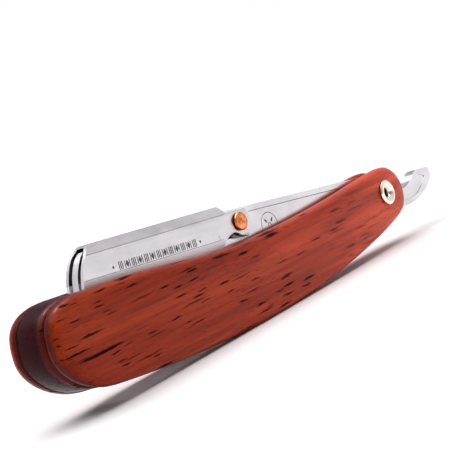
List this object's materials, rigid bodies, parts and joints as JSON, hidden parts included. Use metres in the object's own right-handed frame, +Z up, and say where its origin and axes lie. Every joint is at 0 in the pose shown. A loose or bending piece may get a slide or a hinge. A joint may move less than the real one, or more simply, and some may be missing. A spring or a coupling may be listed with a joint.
{
  "type": "straight razor",
  "caption": "Folding barber's razor with wooden handle scales, a curled-tail steel arm and a swing-up cover that holds a half blade.",
  "frame": {"origin": "middle of the razor's footprint, on the surface that it stands on", "axes": "+X from the toe of the handle towards the curled tail, +Z up, +Y across from the near scale to the far scale"},
  "size_m": [0.1592, 0.015, 0.0315],
  "materials": {
    "near_scale": "polished",
    "far_scale": "polished",
    "toe_spacer": "polished",
    "pivot_eyelet": "nickel plated",
    "pivot_far_washer": "nickel plated",
    "near_pivot_shim": "nickel plated",
    "far_pivot_shim": "nickel plated",
    "arm": "polished",
    "half_blade": "polished",
    "front_blade_stud": "polished",
    "rear_blade_stud": "polished",
    "hinge_rivet": "polished copper",
    "hinge_rivet_burr": "polished copper",
    "blade_cover": "polished"
  },
  "bodies": {
    "handle": {"near_scale": "near_scale", "far_scale": "far_scale", "toe_spacer": "toe_spacer", "pivot_eyelet": "pivot_eyelet", "pivot_far_washer": "pivot_far_washer", "near_pivot_shim": "near_pivot_shim", "far_pivot_shim": "far_pivot_shim"},
    "folding_arm": {"arm": "arm", "half_blade": "half_blade", "front_blade_stud": "front_blade_stud", "rear_blade_stud": "rear_blade_stud", "hinge_rivet": "hinge_rivet", "hinge_rivet_burr": "hinge_rivet_burr"},
    "swing_cover": {"blade_cover": "blade_cover"}
  },
  "joints": [
    {"name": "arm_fold", "type": "hinge", "parent": "handle", "child": "folding_arm", "pos_m": [0.0475, 0, 0.01396], "axis": [0, 1, 0], "range_deg": [-2, 325]},
    {"name": "cover_swing", "type": "hinge", "parent": "folding_arm", "child": "swing_cover", "pos_m": [-0.01033, 0, 0.02284], "axis": [0, 1, 0], "range_deg": [0, 100]}
  ]
}
